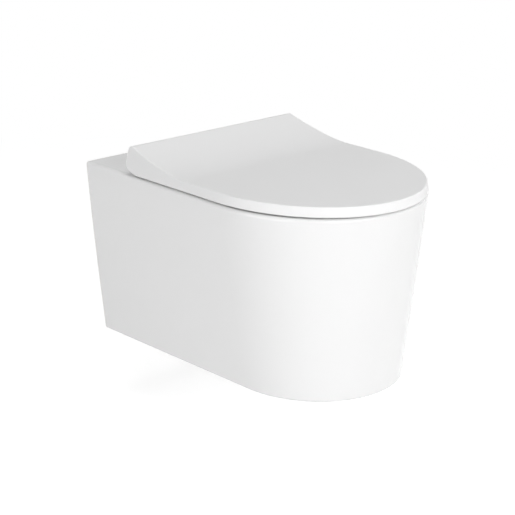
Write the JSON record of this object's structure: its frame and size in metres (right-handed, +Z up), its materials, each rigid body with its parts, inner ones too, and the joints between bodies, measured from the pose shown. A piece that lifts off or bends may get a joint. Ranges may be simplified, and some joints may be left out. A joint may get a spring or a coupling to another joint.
{
  "type": "wall hung toilet",
  "caption": "White wall hung toilet: tapered one-piece china pan with hidden wall anchors, seat ring and wrap-over lid on soft-close hinges.",
  "frame": {"origin": "midway between the two wall studs, on the face that meets the wall, 80 mm under the rim", "axes": "+Z up, +Y into the wall, +X to the right of someone who faces the wall"},
  "size_m": [0.3672, 0.4996, 0.3394],
  "materials": {
    "vitreous_china": "white gloss glaze",
    "moulded_duroplast": "white satin moulded thermoset",
    "stainless_steel": "turned and satin polished",
    "zinc_plated_steel": "bright zinc plating",
    "chrome_button": "polished chrome plating",
    "soft_rubber": "matt pale rubber",
    "acetal": "white moulded acetal"
  },
  "bodies": {
    "pan": {"pan_deck": "vitreous_china", "pan_nose": "vitreous_china", "pan_side_left": "vitreous_china", "pan_side_right": "vitreous_china", "pan_floor": "vitreous_china", "pan_back": "vitreous_china", "bowl_left": "vitreous_china", "bowl_right": "vitreous_china", "bowl_rear": "vitreous_china", "bowl_lower": "vitreous_china", "trap_riser": "vitreous_china", "trap_outlet": "vitreous_china", "flush_inlet": "vitreous_china", "flush_channel": "vitreous_china", "stud_washers": "zinc_plated_steel", "stud_nuts": "zinc_plated_steel", "clamp_washers": "acetal", "clamp_bolts": "stainless_steel", "wall_anchor_left": "zinc_plated_steel", "hinge_gasket_left": "soft_rubber", "hinge_plate_left": "stainless_steel", "hinge_stud_left": "stainless_steel", "hinge_post_left": "stainless_steel", "hinge_pin_left": "stainless_steel", "wall_anchor_right": "zinc_plated_steel", "hinge_gasket_right": "soft_rubber", "hinge_plate_right": "stainless_steel", "hinge_stud_right": "stainless_steel", "hinge_post_right": "stainless_steel", "hinge_pin_right": "stainless_steel"},
    "seat": {"seat_ring": "moulded_duroplast", "seat_damper": "acetal", "seat_bush": "acetal", "seat_buffer_front_left": "soft_rubber", "seat_buffer_front_right": "soft_rubber", "seat_buffer_rear_left": "soft_rubber", "seat_buffer_rear_right": "soft_rubber"},
    "lid": {"lid": "moulded_duroplast", "lid_damper": "acetal", "lid_bush": "acetal", "lid_buffer_left": "soft_rubber", "lid_buffer_right": "soft_rubber"},
    "button_left": {"release_button_left": "chrome_button"},
    "button_right": {"release_button_right": "chrome_button"}
  },
  "joints": [
    {"name": "seat_hinge", "type": "hinge", "parent": "pan", "child": "seat", "pos_m": [0, -0.092, 0.108], "axis": [-1, 0, 0], "range_deg": [0, 95]},
    {"name": "lid_hinge", "type": "hinge", "parent": "seat", "child": "lid", "pos_m": [0, -0.092, 0.108], "axis": [-1, 0, 0], "range_deg": [0, 95]},
    {"name": "left_release", "type": "slide", "parent": "pan", "child": "button_left", "axis": [0, 1, 0], "range_m": [0, 0.0025], "stiffness_N_per_m": 400, "springref_m": -0.003},
    {"name": "right_release", "type": "slide", "parent": "pan", "child": "button_right", "axis": [0, 1, 0], "range_m": [0, 0.0025], "stiffness_N_per_m": 400, "springref_m": -0.003}
  ]
}
